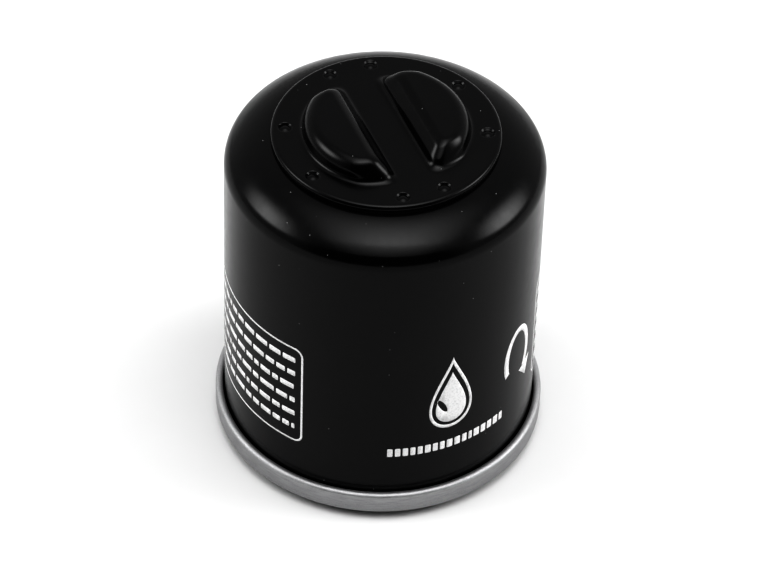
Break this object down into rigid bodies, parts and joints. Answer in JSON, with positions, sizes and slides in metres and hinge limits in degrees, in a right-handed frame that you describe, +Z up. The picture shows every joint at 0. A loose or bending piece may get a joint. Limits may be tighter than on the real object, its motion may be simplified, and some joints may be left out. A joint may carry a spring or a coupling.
{
  "type": "spin-on oil filter",
  "caption": "Black spin-on oil filter for a small engine, with a half-moon finger grip on top and a bare-steel rolled seam at the base.",
  "frame": {"origin": "centre of the gasket's sealing face, on the filter's axis", "axes": "+Z up the filter's axis from the engine side to the grip; +Y along the slot between the two half-moon grips"},
  "size_m": [0.055, 0.055, 0.0647],
  "materials": {
    "black_paint": "satin gloss",
    "zinc_steel": "bare, dull bright",
    "plate_steel": "oiled, machined thread",
    "cap_steel": "tinned",
    "spring_steel": "drawn wire",
    "black_rubber": "matte, lightly oiled",
    "valve_rubber": "matte",
    "sealant": "matte",
    "adhesive": "cured resin",
    "paper": "fibrous"
  },
  "bodies": {
    "shell": {"can": "black_paint", "grip_plate": "black_paint", "seam_lid": "zinc_steel", "seam_sealant": "sealant", "sealing_gasket": "black_rubber", "base_plate": "plate_steel", "element_spring": "spring_steel"},
    "element": {"element_grommet": "black_rubber", "lower_end_cap": "cap_steel", "lower_potting": "adhesive", "pleated_media": "paper", "media_seam_clip": "cap_steel", "centre_tube": "cap_steel", "upper_potting": "adhesive", "upper_end_cap": "cap_steel", "bypass_housing": "cap_steel", "bypass_spring": "spring_steel"},
    "bypass_valve": {"bypass_poppet": "cap_steel", "bypass_seal": "black_rubber"},
    "drainback_valve": {"anti_drainback_valve": "valve_rubber"}
  },
  "joints": [
    {"name": "element_float", "type": "slide", "parent": "shell", "child": "element", "axis": [0, 0, 1], "range_m": [0, 0.0008], "stiffness_N_per_m": 2500, "springref_m": -0.004, "deforming": ["element_spring"]},
    {"name": "bypass_opening", "type": "slide", "parent": "element", "child": "bypass_valve", "axis": [0, 0, -1], "range_m": [0, 0.0025], "stiffness_N_per_m": 400, "springref_m": -0.005, "deforming": ["bypass_spring"]},
    {"name": "drainback_lift", "type": "slide", "parent": "shell", "child": "drainback_valve", "axis": [0, 0, 1], "range_m": [0, 0.0008], "stiffness_N_per_m": 60, "springref_m": -0.001}
  ]
}
